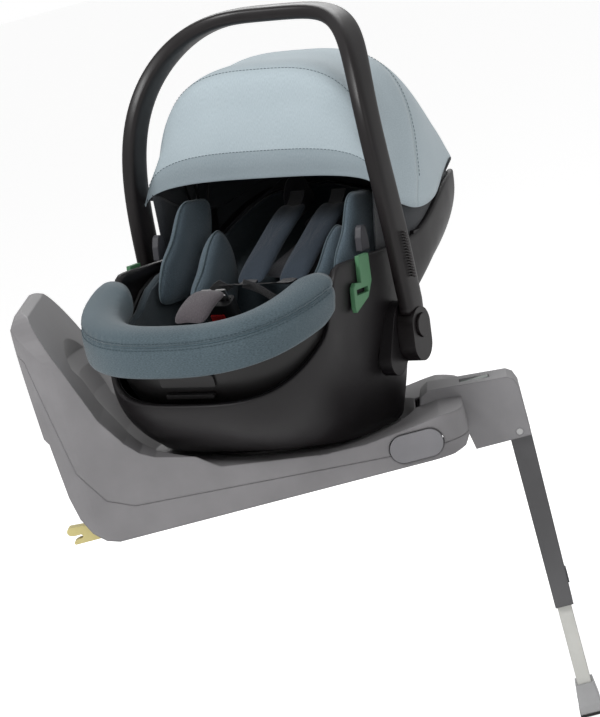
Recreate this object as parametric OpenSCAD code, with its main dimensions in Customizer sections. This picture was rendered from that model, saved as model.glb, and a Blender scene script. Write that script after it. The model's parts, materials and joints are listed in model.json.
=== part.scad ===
// Infant car seat on a swivel base with a support leg.
// +Z is square to the underside of the base, +Y points to the support leg, X is across the base.
// The origin lies on the underside of the base, below the middle of the turntable.

/* [Base] */
// Width of the base
base_w = 340; // [320:1:380]
// Distance from the turntable axis to the back of the rebound panel
base_rear = 325; // [318:1:350]
// Distance from the turntable axis to the front of the casing
base_front = 278; // [272:1:292]
// Height of the rebound panel
panel_h = 350; // [335:1:380]
// Wall thickness of the casings
casing_wall = 3; // [2.5:0.5:5]
// Tilt of the turntable against the underside, in degrees
deck_tilt = 8; // [6:1:9]
// Height of the turntable's top on its axis
deck_h = 58; // [56:1:64]

/* [Support leg] */
// Distance from the turntable axis to the leg hinge
leg_reach = 348; // [342:1:370]
// Length of the outer leg tube below its hinge
leg_outer_l = 276; // [250:1:330]
// Visible length of the inner leg tube at rest
leg_inner_out = 132; // [100:1:150]
// Outer width of the leg across the seat
leg_w = 50; // [44:1:56]
// Depth of the inner leg tube
leg_tube_d = 21; // [18:1:22]

/* [Anchor connectors] */
// Distance between the two connectors
anchor_pitch = 280; // [270:1:290]
// Distance from the back of the rebound panel forward to the anchor bars
anchor_in = 22; // [18:1:26]
// Height of the anchor bars above the underside
anchor_h = 20; // [19:1:24]
// Diameter of the anchor bar that the jaws take
anchor_bar_d = 6; // [6:0.5:7]

/* [Carrier] */
// Turn of the carrier from the travel direction, in degrees
carrier_turn = 62; // [0:1:90]
// Height of the handle pivots above the turntable
hub_h = 152; // [146:1:166]
// Distance from the turntable axis to the handle pivots, towards the head end
seat_offset = 60; // [50:1:70]
// Half width of the shell at its rim
shell_half_w = 191; // [188:1:193]
// Length of the shell from the pivots to the foot end
shell_foot = 302; // [285:1:310]
// Length of the shell from the pivots to the head end
shell_head = 416; // [400:1:430]
// Wall thickness of the shell and the tub
shell_wall = 3; // [2.5:0.5:4]
// Height of the shell rim at the head end, above the pivots
rim_head_z = 176; // [165:1:190]

/* [Handle] */
// Height of the handle above its pivots
handle_h = 477; // [460:1:500]
// Half width of the handle at its widest
handle_half_w = 228; // [228:1:240]
// Width of the handle band
band_w = 46; // [34:1:50]
// Thickness of the handle band
band_t = 24; // [20:1:28]
// Radius of the handle hubs
hub_r = 27; // [24:0.5:32]
// Diameter of the handle pivot pins
pivot_pin_d = 12; // [8:0.5:14]

/* [Canopy] */
// Height of the canopy top above the pivots
canopy_h = 404; // [390:1:420]
// Half width of the canopy
canopy_half_w = 197; // [192:1:200]
// Diameter of the canopy bows
bow_d = 4; // [3:0.5:4.5]

/* [Fits] */
// Running clearance of pins in their bores
pin_fit = 0.05; // [0.02:0.01:0.1]
// Gap between pieces that slide or swing past each other
slide_gap = 0.5; // [0.4:0.1:1]

/* [Hidden] */
$fn = 48;

casing_dark = [0.16, 0.15, 0.16];
base_grey = [0.52, 0.52, 0.53];
ice_blue = [0.76, 0.82, 0.85];
teal = [0.42, 0.52, 0.56];
navy = [0.17, 0.21, 0.25];
guide_green = [0.42, 0.65, 0.49];

half_base = base_w / 2;
ring_n = 40;

// ---------- shared functions ----------
function lerp(a, b, t) = a + (b - a) * t;
function clamp01(t) = max(0, min(1, t));
function ease(t) = let(u = clamp01(t)) u * u * (3 - 2 * u);
function spow(v, k) = sign(v) * pow(abs(v), k);

function middle_of(row) = [for (k = [0 : 2]) [for (p = row) p[k]] * [for (p = row) 1] / len(row)];

// A closed solid through rows of equal point counts, with fans round the middle of the first and last row
module loft(rows) {
    n = len(rows[0]);
    m = len(rows);
    points = concat([for (row = rows) each row], [middle_of(rows[0]), middle_of(rows[m - 1])]);
    sides = [for (i = [0 : m - 2], j = [0 : n - 1])
        let(a = i * n + j, b = i * n + (j + 1) % n) each [[a, a + n, b], [b, a + n, b + n]]];
    first = [for (j = [0 : n - 1]) [j, (j + 1) % n, m * n]];
    last = [for (j = [0 : n - 1]) [(m - 1) * n + (j + 1) % n, (m - 1) * n + j, m * n + 1]];
    polyhedron(points, concat(sides, first, last), convexity = 8);
}

// Places a piece of the turning body: +Z is the turntable axis, the origin is between the pivots
module on_carrier() {
    translate([0, 0, deck_h]) rotate([-deck_tilt, 0, 0]) rotate([0, 0, carrier_turn])
        translate([0, seat_offset, hub_h]) children();
}

// Places a piece on the turntable's top face
module on_deck() {
    translate([0, 0, deck_h]) rotate([-deck_tilt, 0, 0]) children();
}

// A bar of rounded outline across the base, from a side view outline of [y, z] points
module across(width, centre = 0) {
    translate([centre - width / 2, 0, 0]) rotate([90, 0, 90]) linear_extrude(width) children();
}

module rounded_block(size, r) {
    linear_extrude(size[2]) offset(r) square([size[0] - 2 * r, size[1] - 2 * r], center = true);
}

// ---------- base ----------
seam_z = 20;
leg_pin_z = -18;
leg_pin_d = 10;
leg_r = 16;
leg_back = leg_reach - leg_r;
leg_front = leg_reach + leg_r;
arm_top = 67;
arm_low = leg_pin_z - 9;
arm_w = leg_w + 24;
dish_floor_r = 186;
dish_r = 297;

// Side outline of the base, moved outwards by grow
module base_outline(grow = 0) {
    offset(delta = grow) polygon([
        [-base_rear + 78, 0], [-base_rear + 60, 6], [-base_rear + 43, 21], [-base_rear + 30, 45],
        [-base_rear + 22, 79], [-base_rear + 15, 160], [-base_rear + 8, 168], [-base_rear, 301],
        [-base_rear + 3, panel_h - 18], [-base_rear + 10, panel_h - 3], [-base_rear + 20, panel_h],
        [-base_rear + 30, panel_h - 8], [-base_rear + 63, 265], [-base_rear + 95, 178],
        [-base_rear + 122, 137], [-base_rear + 140, 118], [-base_rear + 160, 107], [-102, 91],
        [64, 49], [130, 47], [188, 53], [226, 58], [243, 60], [base_front, 56],
        [base_front, 14], [base_front - 8, 4], [base_front - 26, 0]]);
}

// Plan outline of the base with rounded corners, moved inwards by inset
module base_plan(inset = 0) {
    r = 60;
    offset(delta = -inset) hull() for (x = [-1, 1], y = [-base_rear + r, base_front - r])
        translate([x * (half_base - r), y]) circle(r);
}

// Front outline of the rebound panel, rounded at its top corners
module panel_front(inset = 0) {
    r = 95;
    offset(delta = -inset) hull() {
        translate([-half_base, 0]) square([base_w, 100]);
        for (x = [-1, 1]) translate([x * (half_base - r), panel_h - r]) circle(r);
    }
}

// The dish that the carrier turns in, lowered and widened by grow
module dish(grow = 0) {
    on_deck() rotate_extrude($fn = 96) polygon([[0, 0.5 - grow], [dish_floor_r + grow, 0.5 - grow],
        [222 + grow, 40 - grow], [242 + grow, 72 - grow], [262 + grow, 100], [280 + grow, 135],
        [dish_r + grow, 155], [dish_r + grow, 600], [0, 600]]);
}

// The base's outer solid, with every face moved inwards by inset
module base_body(inset = 0) {
    intersection() {
        across(base_w - 2 * inset) base_outline(-inset);
        linear_extrude(panel_h + 2) base_plan(inset);
        translate([0, 400, 0]) rotate([90, 0, 0]) linear_extrude(900) panel_front(inset);
    }
}

// The hollow inside the casings
module base_cavity(wall) {
    difference() {
        base_body(wall);
        dish(wall);
    }
}

// Everything below the seam line between the two casings
module below_seam(gap = 0) {
    translate([0, 0, gap]) across(base_w + 20) polygon([[-base_rear - 10, -10], [base_front + 80, -10],
        [base_front + 80, seam_z - 2], [175, seam_z], [-base_rear + 114, 45],
        [-base_rear + 76, 62], [-base_rear + 44, 111], [-base_rear + 13, 284],
        [-base_rear - 10, 310]]);
}

// Where the anchor arms pass through the back of the casings
module anchor_cut() {
    for (x = [-1, 1]) translate([x * anchor_pitch / 2 - 15, -base_rear - 5, anchor_h - 15])
        cube([30, 190, 30]);
}

module knob_outline(grow = 0) {
    hull() for (y = [-19, 19]) translate([0, y]) circle(20 + grow);
}

// Places a piece in the knob pockets: +Z points out of the side of the base
module at_knob(side) {
    translate([side * half_base, 202, 27]) rotate([0, side * 90, 0]) children();
}

module knob_cut() {
    for (side = [-1, 1]) at_knob(side) translate([0, 0, -14]) linear_extrude(20) knob_outline(1);
}

// The slot at the front of the casings that takes the leg arm
module arm_cut() {
    translate([-arm_w / 2 - slide_gap, base_front - 70, -10]) cube([arm_w + 2 * slide_gap, 90, 110]);
}

mat_t = 1.5;

module base_lower_casing() {
    color(base_grey * 0.92) difference() {
        intersection() {
            base_body();
            below_seam();
        }
        base_cavity(casing_wall);
        dish();
        anchor_cut();
        knob_cut();
        mat_cut();
        arm_cut();
    }
}

module base_upper_casing() {
    color(base_grey) difference() {
        base_body();
        base_cavity(casing_wall);
        below_seam(slide_gap);
        dish();
        anchor_cut();
        knob_cut();
        arm_cut();
        on_deck() translate([0, 0, -20]) cylinder(r = 30, h = 30);
    }
}

module base_mat() {
    color([0.3, 0.3, 0.3]) for (side = [-1, 1]) translate([side * 94, -10, 0])
        rounded_block([100, 400, mat_t], 20);
}

// Shallow seats for the two mats in the underside
module mat_cut() {
    for (side = [-1, 1]) translate([side * 94, -10, -1])
        rounded_block([100 + 2 * slide_gap, 400 + 2 * slide_gap, 1 + mat_t + 0.1], 20 + slide_gap);
}

module casing_screws() {
    color("silver") for (x = [-1, 1], y = [-190, -70, 50, 170])
        translate([x * (half_base - 24), y, casing_wall]) cylinder(d = 8, h = 3);
}

// ---------- anchor connectors ----------
arm_bar_h = 18;
anchor_y = -base_rear + anchor_in;

module isofix_arm(side) {
    color("silver") translate([side * anchor_pitch / 2 - 9, anchor_y + 56, anchor_h - arm_bar_h / 2])
        difference() {
            cube([18, 200, arm_bar_h]);
            translate([2, -1, 2]) cube([14, 202, arm_bar_h - 4]);
        }
}

// A jaw block with an open slot that takes the anchor bar
module isofix_connector(side) {
    bar_r = anchor_bar_d / 2 + 0.2;
    color([0.85, 0.81, 0.52]) difference() {
        across(20, side * anchor_pitch / 2) translate([anchor_y, anchor_h]) union() {
            translate([6, -12]) square([49.7, 24]);
            hull() {
                translate([12, 4]) circle(8);
                translate([-12, 8]) circle(6);
            }
            hull() {
                translate([12, -6]) circle(6);
                translate([-9, -9.5]) circle(2.5);
            }
        }
        translate([side * anchor_pitch / 2, anchor_y, anchor_h - 2]) rotate([0, 90, 0])
            cylinder(r = bar_r, h = 40, center = true);
        translate([side * anchor_pitch / 2 - 20, anchor_y - 40, anchor_h - 2 - bar_r + 0.2])
            cube([40, 40, 2 * bar_r - 0.4]);
        translate([side * (anchor_pitch / 2 + 10), anchor_y + 30, anchor_h]) rotate([0, 90, 0])
            cylinder(d = 13 + 2 * slide_gap, h = 9, center = true);
    }
}

module isofix_release(side) {
    color([0.35, 0.35, 0.36]) translate([side * (anchor_pitch / 2 + 9.5), anchor_y + 30, anchor_h])
        rotate([0, side * 90, 0]) translate([0, 0, -1]) cylinder(d = 13, h = 4);
}

module swivel_knob(side) {
    color(base_grey * 1.08) at_knob(side) translate([0, 0, -9]) linear_extrude(13) knob_outline();
}

// ---------- support leg ----------
leg_tube_y = leg_reach - 3;
leg_low = leg_pin_z - leg_outer_l;
leg_tube_top = leg_pin_z - 108;
leg_tube_low = leg_low - leg_inner_out;
foot_h = 36;

module leg_channel() {
    translate([-leg_w / 2 - slide_gap, base_front - 6, -100])
        cube([leg_w + 2 * slide_gap, 200, 100 + leg_pin_z + leg_r + slide_gap]);
}

module leg_arm() {
    color(base_grey * 0.97) difference() {
        across(arm_w) polygon([[base_front - 68, 6], [base_front - 4, 6], [base_front + 2, arm_low],
            [leg_front, arm_low], [leg_front, arm_top - 20], [leg_front - 5, arm_top - 7],
            [leg_front - 14, arm_top - 1], [leg_front - 26, arm_top], [base_front - 33, arm_top + 8],
            [base_front - 46, arm_top + 9], [base_front - 58, arm_top + 1], [base_front - 68, 40]]);
        leg_channel();
        translate([0, leg_reach, leg_pin_z]) rotate([0, 90, 0])
            cylinder(d = leg_pin_d, h = arm_w + 2, center = true);
        translate([-12, base_front + 2, arm_top - 1]) cube([24, 44, 20]);
    }
}

module leg_indicator() {
    color([0.3, 0.62, 0.36]) translate([-11, base_front + 3, arm_top - 1]) cube([22, 42, 3]);
}

module leg_hinge_pin() {
    color("silver") translate([0, leg_reach, leg_pin_z]) rotate([0, 90, 0])
        cylinder(d = leg_pin_d, h = arm_w - 1, center = true);
}

module leg_outer_tube() {
    color(base_grey * 0.94) difference() {
        union() {
            across(leg_w) polygon([[leg_back, leg_pin_z], [leg_back, leg_low],
                [leg_tube_y + 14.5, leg_low], [leg_front, leg_pin_z]]);
            translate([0, leg_reach, leg_pin_z]) rotate([0, 90, 0])
                cylinder(r = leg_r, h = leg_w, center = true);
        }
        translate([0, leg_reach, leg_pin_z]) rotate([0, 90, 0])
            cylinder(d = leg_pin_d + 2 * pin_fit, h = leg_w + 2, center = true);
        translate([-leg_w / 2 + 7 - slide_gap, leg_tube_y - leg_tube_d / 2 - slide_gap, leg_low - 1])
            cube([leg_w - 14 + 2 * slide_gap, leg_tube_d + 2 * slide_gap, leg_outer_l - 22]);
        translate([-9 - slide_gap, leg_tube_y, leg_low + 30 - slide_gap])
            cube([18 + 2 * slide_gap, 40, 22 + 2 * slide_gap]);
    }
}

module leg_inner_tube() {
    color([0.78, 0.78, 0.76]) translate([0, leg_tube_y, leg_tube_low]) difference() {
        translate([-leg_w / 2 + 7, -leg_tube_d / 2, 0]) cube([leg_w - 14, leg_tube_d, leg_tube_top - leg_tube_low]);
        translate([-leg_w / 2 + 9, -leg_tube_d / 2 + 2, 8])
            cube([leg_w - 18, leg_tube_d - 4, leg_tube_top - leg_tube_low]);
    }
}

module leg_height_button() {
    color([0.35, 0.35, 0.36]) translate([-9, leg_tube_y + leg_tube_d / 2 + 2, leg_low + 30])
        cube([18, 4.5, 22]);
}

module leg_foot() {
    color([0.62, 0.62, 0.63]) translate([0, leg_tube_y, leg_tube_low - foot_h]) difference() {
        hull() {
            translate([-30, -17, 0]) cube([60, 34, 12]);
            translate([-leg_w / 2 + 4, -leg_tube_d / 2 - 3, foot_h]) cube([leg_w - 8, leg_tube_d + 6, 8]);
        }
        translate([-leg_w / 2 + 7 - 0.1, -leg_tube_d / 2 - 0.1, foot_h]) cube([leg_w - 13.8, leg_tube_d + 0.2, 20]);
    }
}

module foot_sole() {
    color([0.25, 0.25, 0.25]) translate([-31, leg_tube_y - 18, leg_tube_low - foot_h - 4]) cube([62, 36, 4]);
}

// ---------- turntable ----------
table_r = 118;
table_top = 5;

module turntable() {
    color([0.22, 0.22, 0.23]) on_deck() difference() {
        translate([0, 0, 1]) cylinder(r = table_r, h = table_top - 1);
        cylinder(d = 24 + 2 * pin_fit, h = 20, center = true);
    }
}

module turntable_axle() {
    color("silver") on_deck() difference() {
        union() {
            translate([0, 0, -15]) cylinder(d = 24, h = 15 + table_top);
            translate([0, 0, -15]) cylinder(r = 28, h = 5);
        }
        translate([0, 0, -16]) cylinder(d = 12, h = 30);
    }
}

// ---------- shell of the carrier ----------
foot_low_y = -210;
head_low_y = 114;
low_half_w = 160;
horn_z = 115;
horn_front = -156;
horn_back = -92;
horn_back_z = 113;

// Grows from the bottom outline to the rim outline, quick at first and slower near the rim
function flare(t) = 1 - pow(1 - t, 2);
function head_flare(t) = 1 - pow(1 - clamp01((t - 0.54) / 0.42), 2);

// Height of the shell's rim at a distance y from the pivots
function rim_z(y) = y < horn_front ? lerp(-52, 44, pow(clamp01((y + shell_foot) / 132), 1.35))
        + (horn_z - 44) * ease((y - horn_front + 34) / 34)
    : y < horn_back + 50 ? lerp(horn_z, horn_back_z, ease((y - horn_back) / 50))
    : lerp(horn_back_z, rim_head_z, ease((y - 60) / 220)) - 30 * ease((y - shell_head + 60) / 60);

// Height of the tub's rim, level with the liner it carries
function tub_rim_z(y) = 10 + 0.28 * max(0, min(y, -140) + shell_foot) + 52 * ease((y + 140) / 60)
    + (rim_head_z - 116) * ease((y - 60) / 220) - 30 * ease((y - shell_head + 60) / 60);

floor_gap = 6;
function low_z(y) = -hub_h + floor_gap + 8 * pow(clamp01((-60 - y) / 126), 2) + 12 * pow(clamp01((y - 10) / 72), 2);

// Plan point i of the shell at level t, moved inwards by inset
function plan_point(i, t, inset) = let(
        a = 360 * i / ring_n,
        half_w = lerp(low_half_w, shell_half_w, flare(t)) - inset,
        foot = lerp(foot_low_y, -shell_foot, flare(t)) + inset,
        head_low = head_low_y + 28 * flare(min(1, 2 * t)),
        head = lerp(head_low, shell_head, head_flare(t)) - inset,
        middle = lerp(-40, -90, t),
        reach = sin(a) < 0 ? middle - foot : head - middle,
        bend = sin(a) < 0 ? 0.72 : 0.56,
        y = middle + reach * spow(sin(a), bend),
        head_taper = 1 - 0.2 * pow(clamp01((y - 110) / (shell_head - 110)), 1.6))
    [half_w * spow(cos(a), bend) * head_taper, y];

function shell_row(t, inset, floor_up) = [for (i = [0 : ring_n - 1]) let(p = plan_point(i, t, inset),
    top = plan_point(i, 1, inset)) [p[0], p[1], lerp(low_z(p[1]) + floor_up, rim_z(top[1]), t)]];
function tub_row(t, inset, floor_up) = [for (i = [0 : ring_n - 1]) let(p = plan_point(i, t, inset),
    top = plan_point(i, 1, inset)) [p[0], p[1], lerp(low_z(p[1]) + floor_up, tub_rim_z(top[1]), t)]];

levels = [0, 0.05, 0.13, 0.25, 0.4, 0.54, 0.62, 0.7, 0.8, 0.9, 1];
levels_down = [for (i = [len(levels) - 1 : -1 : 0]) levels[i]];
tub_inset = shell_wall + 5;
tub_raise = 34;

module outer_shell() {
    color(casing_dark) on_carrier() loft(concat([for (t = levels) shell_row(t, 0, 0)],
        [for (t = levels_down) shell_row(t, shell_wall, shell_wall)]));
}

module inner_tub() {
    color(casing_dark * 1.2) on_carrier() loft(concat([for (t = levels) tub_row(t, tub_inset, tub_raise)],
        [for (t = levels_down) tub_row(t, tub_inset + shell_wall, tub_raise + shell_wall)]));
}
// Small feet under the shell that meet the turntable
module shell_glides() {
    color([0.12, 0.12, 0.12]) on_carrier() for (x = [-1, 1], y = [-1, 1])
        translate([x * 82, -seat_offset + y * 55, table_top + 0.2 - hub_h])
            cylinder(d = 26, h = floor_gap - table_top - 0.2);
}

// ---------- adjuster at the front of the tub ----------
module adjuster_panel() {
    color(casing_dark * 1.5) on_carrier() translate([0, -shell_foot + 14.5, -16]) rotate([112, 0, 0])
        rounded_block([92, 20, 3], 4);
}

module adjuster_lever() {
    color(casing_dark * 0.7) on_carrier() translate([0, -shell_foot + 22, -38]) rotate([112, 0, 0])
        rounded_block([80, 7, 6], 3);
}

// ---------- handle ----------
boss_r = 36;
boss_in = shell_half_w - 8;
boss_out = handle_half_w - band_t - slide_gap;
pin_out = handle_half_w - 12;

// Runs along +X (side 1) or -X (side -1) from the pivot axis
module on_pivot(side) {
    on_carrier() rotate([0, side * 90, 0]) children();
}

module handle_boss(side) {
    color(casing_dark) on_pivot(side) difference() {
        translate([0, 0, boss_in]) linear_extrude(boss_out - boss_in) hull() {
            circle(boss_r);
            translate([side * 44, -32]) circle(24);
        }
        cylinder(d = pivot_pin_d + 2 * pin_fit, h = 400);
    }
}

module pivot_pin(side) {
    color("silver") on_pivot(side) translate([0, 0, boss_in])
        cylinder(d = pivot_pin_d, h = pin_out - boss_in - 1);
}

module handle_hub(side) {
    color(casing_dark * 1.15) on_pivot(side) difference() {
        translate([0, 0, boss_out + slide_gap]) linear_extrude(handle_half_w - boss_out + 1.5) hull() {
            circle(hub_r);
            translate([side * 26, 0]) circle(hub_r);
        }
        cylinder(d = pivot_pin_d + 2 * pin_fit, h = 400);
        translate([0, 0, pin_out + 1]) cylinder(r = hub_r - 9, h = 40);
    }
}

module handle_button(side) {
    color(casing_dark * 1.4) on_pivot(side) translate([0, 0, pin_out + 6]) cylinder(r = hub_r - 10, h = 12);
}

// Middle line of the handle band at angle a from one pivot over to the other
function handle_line(a) = let(rise = sin(a), spread = cos(a))
    [(handle_half_w - band_t / 2) * spow(spread, 0.52),
        80 * pow(rise, 1.53) - 156 * rise * spread * spread,
        (handle_h - band_t / 2) * pow(rise, 0.62)];

function unit(v) = v / norm(v);

// One rounded cross-section of a band at point p, with its width along w and its thickness along h
function band_row(p, w, h, width, thick, n = 14) = [for (i = [0 : n - 1]) let(a = 360 * i / n)
    p + w * (width / 2) * spow(cos(a), 0.7) + h * (thick / 2) * spow(sin(a), 0.7)];

module carry_handle() {
    steps = 40;
    angles = [for (i = [0 : steps]) lerp(177, 3, i / steps)];
    foot_row = function(side, z) band_row([side * (handle_half_w - band_t / 2), 0, z],
        [0, 1, 0], [side, 0, 0], band_w, band_t);
    color(casing_dark * 1.1) on_carrier() loft(concat([foot_row(-1, 19), foot_row(-1, 36)],
        [for (a = angles) let(
            along = unit(handle_line(a + 0.5) - handle_line(a - 0.5)),
            out = unit(cross([0, 1, 0], along)),
            wide = unit(cross(along, out)))
            band_row(handle_line(a), wide, out, band_w, band_t)],
        [foot_row(1, 36), foot_row(1, 19)]));
}

// ---------- belt guides and release tabs ----------
guide_y = -102;

module belt_guide(side) {
    color(guide_green) on_carrier() translate([side > 0 ? shell_half_w + 0.4 : -shell_half_w - 7.4, guide_y, 82])
        rotate([90, 0, 90]) linear_extrude(7) difference() {
            polygon([[-2, 40], [26, 40], [27, 0], [12, -22], [-26, -38], [-29, -30], [-27, -2],
                [-20, 4], [-4, 2]]);
            translate([-20, -14]) square([34, 8]);
        }
}

module release_tab(side) {
    color([0.27, 0.27, 0.3]) on_carrier() translate([side * (shell_half_w - 17), -46, 121])
        hull() {
            translate([-5, -11, 0]) cube([10, 22, 20]);
            translate([0, 0, 29]) rotate([0, 90, 0]) cylinder(r = 8, h = 10, center = true);
        }
}

// ---------- canopy ----------
pivot_y = 100;
pivot_z = 160;
cloth = 2;

// Stations of the canopy from the hem to the back: half width, base y and z, top y and z
hem_low = [canopy_half_w, -30, 204, -8, 232];
hem_top = [canopy_half_w - 1, -22, 206, -14, 272];
brow = [canopy_half_w - 8, -8, 202, -4, 335];
middle_bow = [canopy_half_w - 10, 14, 190, 8, canopy_h - 16];
crown = [canopy_half_w - 10, 52, 174, 78, canopy_h];
rear_bow = [canopy_half_w - 4, pivot_y, 158, 156, canopy_h - 6];
back_crown = [canopy_half_w - 16, 170, 170, 228, canopy_h - 48];
back_low = [canopy_half_w - 40, 262, 190, 304, 282];
back_edge = [canopy_half_w - 62, 320, 196, 350, 214];

arch_n = 26;
function arch_point(st, a) = let(s = pow(max(0, sin(a)), 0.72))
    [st[0] * spow(cos(a), 0.62), lerp(st[1], st[3], s), lerp(st[2], st[4], s)];
function arch_row(st) = [for (i = [0 : arch_n]) arch_point(st, 180 * i / arch_n)];
function inward(row) = [for (p = row) p + cloth * unit([0, 110, pivot_z] - p)];

// A sheet of cloth with its outer face through one grid of points and its inner face through another
module sheet(outer, inner) {
    m = len(outer);
    n = len(outer[0]);
    points = concat([for (row = outer) each row], [for (row = inner) each row]);
    k = m * n;
    quads = [for (i = [0 : m - 2], j = [0 : n - 2]) let(a = i * n + j) each
        [[a, a + 1, a + n], [a + 1, a + n + 1, a + n],
         [k + a, k + a + n, k + a + 1], [k + a + 1, k + a + n, k + a + n + 1]]];
    sides = [for (i = [0 : m - 2]) let(a = i * n, b = i * n + n - 1) each
        [[a, a + n, k + a], [a + n, k + a + n, k + a], [b, k + b, b + n], [b + n, k + b, k + b + n]]];
    ends = [for (j = [0 : n - 2]) let(a = j, b = (m - 1) * n + j) each
        [[a, k + a, a + 1], [a + 1, k + a, k + a + 1], [b, b + 1, k + b], [b + 1, k + b + 1, k + b]]];
    polyhedron(points, concat(quads, sides, ends), convexity = 6);
}

module canopy_part(stations) {
    color(ice_blue) on_carrier() sheet([for (st = stations) arch_row(st)],
        [for (st = stations) inward(arch_row(st))]);
}

function blend(a, b, t) = a + (b - a) * t;

module canopy_visor() {
    canopy_part([hem_low, hem_top, brow, blend(brow, middle_bow, 0.94)]);
}

module canopy_panel() {
    canopy_part([middle_bow, crown, blend(crown, rear_bow, 0.97)]);
}

module canopy_hood() {
    canopy_part([rear_bow, blend(rear_bow, back_crown, 0.5), back_crown, blend(back_crown, back_low, 0.5),
        back_low, back_edge]);
}

// A bow of round rod from one pivot over to the other, with an eye at each end
module canopy_bow(half_w, top_y, top_z) {
    st = [half_w, pivot_y, pivot_z, top_y, top_z];
    color([0.3, 0.32, 0.34]) on_carrier() difference() {
        union() {
            loft([for (i = [0 : 30]) let(a = lerp(3, 177, i / 30), p = arch_point(st, a),
                along = unit(arch_point(st, a + 1) - arch_point(st, a - 1)),
                side = unit(cross([0, top_z - pivot_z, pivot_y - top_y], along)))
                band_row(p, side, cross(along, side), bow_d, bow_d, 8)]);
            for (x = [-1, 1]) translate([x * half_w, pivot_y, pivot_z]) rotate([0, 90, 0])
                cylinder(r = 9, h = bow_d, center = true);
        }
        translate([0, pivot_y, pivot_z]) rotate([0, 90, 0])
            cylinder(r = 4 + pin_fit, h = 500, center = true);
    }
}

bow_step = bow_d + 1.2;
bow_out = canopy_half_w - cloth - 13;
module canopy_bow_front() { canopy_bow(bow_out, 0, 258); }
module canopy_bow_middle() { canopy_bow(bow_out - bow_step, 16, canopy_h - 28); }
module canopy_bow_rear() { canopy_bow(bow_out - 2 * bow_step, 150, canopy_h - 18); }

// Brackets inside the tub that carry the canopy pins
bracket_z = 120;
module canopy_brackets() {
    low = bow_out - 2 * bow_step - bow_d;
    color(casing_dark) on_carrier() for (side = [-1, 1]) translate([0, pivot_y, 0]) {
        translate([side * (low - 3) - 2.5, -12, bracket_z]) cube([5, 24, pivot_z - bracket_z + 12]);
        translate([side * (low + 8.5) - 11.5, -12, bracket_z]) cube([23, 24, 5]);
        translate([side * low, 0, pivot_z]) rotate([0, side * 90, 0])
            translate([0, 0, -2]) cylinder(r = 4, h = bow_out + bow_d / 2 - low + 3);
    }
}

// ---------- soft parts ----------
pad_gap = 5.8;
lining_t = 12;
ring_half_w = 170;
ring_front = -318;
ring_mid = -140;
ring_r = 28;
ring_h = 34;

module bolster() {
    rows = [for (i = [0 : 30]) let(
        a = lerp(354, 186, i / 30),
        at = function(b) [ring_half_w * spow(cos(b), 0.82), ring_mid - 16 + (ring_mid - 16 - ring_front) * spow(sin(b), 0.82), 0],
        p = at(a), along = unit(at(a + 1) - at(a - 1)),
        rise = 56 + 0.3 * (p[1] - ring_front))
        band_row([p[0], p[1], rise], unit(cross(along, [0, 0, 1])), [0, 0, 1], 2 * ring_r, 2 * ring_h, 16)];
    color(teal) on_carrier() loft(rows);
}

module seat_lining() {
    outer = tub_inset + shell_wall + pad_gap;
    floor_up = tub_raise + shell_wall + pad_gap;
    color(teal * 0.7) on_carrier() loft(concat(
        [for (t = levels) tub_row(t, outer, floor_up)],
        [for (t = levels_down) tub_row(t, outer + lining_t, floor_up + lining_t)]));
}

// A soft slab through rounded corners at the listed places
module pad(corners, r) {
    hull() for (c = corners) translate(c) sphere(r, $fn = 16);
}

module backrest_pad() {
    color(navy) on_carrier() pad([for (x = [-78, 78], c = [[112, 66], [300, 116]]) [x, c[0], c[1]]], 12);
}

module headrest() {
    color(navy * 1.3) on_carrier() {
        pad([for (x = [-70, 70], c = [[226, 120], [290, 137]]) [x, c[0], c[1]]], 9);
        for (x = [-1, 1]) pad([[x * 92, 226, 126], [x * 92, 290, 144], [x * 96, 206, 170], [x * 96, 266, 188]], 9);
    }
}

module wing_pad(side) {
    color(teal * 0.8) on_carrier() pad([[side * 98, -88, 36], [side * 100, 28, 34], [side * 102, -34, 104],
        [side * 100, 20, 148], [side * 96, 58, 118]], 13);
}

module side_pad(side) {
    color(teal * 0.75) on_carrier() pad([[side * 146, -92, 66], [side * 146, 20, 60], [side * 146, -66, 120],
        [side * 140, -12, 190], [side * 140, 50, 184]], 9);
}

module shoulder_pads() {
    color(navy * 1.2) on_carrier() for (x = [-1, 1])
        pad([for (w = [-15, 15], c = [[128, 165], [-25, 79]]) [x * 36 + w, c[0], c[1]]], 8);
}

module crotch_pad() {
    color([0.3, 0.27, 0.28]) on_carrier()
        pad([for (w = [-16, 16], c = [[-252, 66], [-206, 86]]) [w, c[0], c[1]]], 9);
}

module buckle_body() {
    color([0.2, 0.2, 0.21]) on_carrier() translate([0, -166, 52]) rotate([28, 0, 0]) difference() {
        translate([0, 0, -30]) rounded_block([50, 26, 60], 8);
        translate([-11 - slide_gap, -14, -14 - slide_gap]) cube([22 + 2 * slide_gap, 12, 28 + 2 * slide_gap]);
        for (x = [-1, 1]) translate([x * 12 - 9, -1.5, 14]) cube([18, 7, 40]);
    }
}

module buckle_button() {
    color([0.72, 0.12, 0.12]) on_carrier() translate([0, -166, 52]) rotate([28, 0, 0])
        translate([-11, -15.5, -14]) cube([22, 9.5, 28]);
}

module buckle_tongues() {
    color("silver") on_carrier() translate([0, -166, 52]) rotate([28, 0, 0]) for (x = [-1, 1])
        translate([x * 12 - 8, 0, 15]) difference() {
            cube([16, 3, 34]);
            translate([3, -1, 24]) cube([10, 5, 5]);
        }
}

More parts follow.
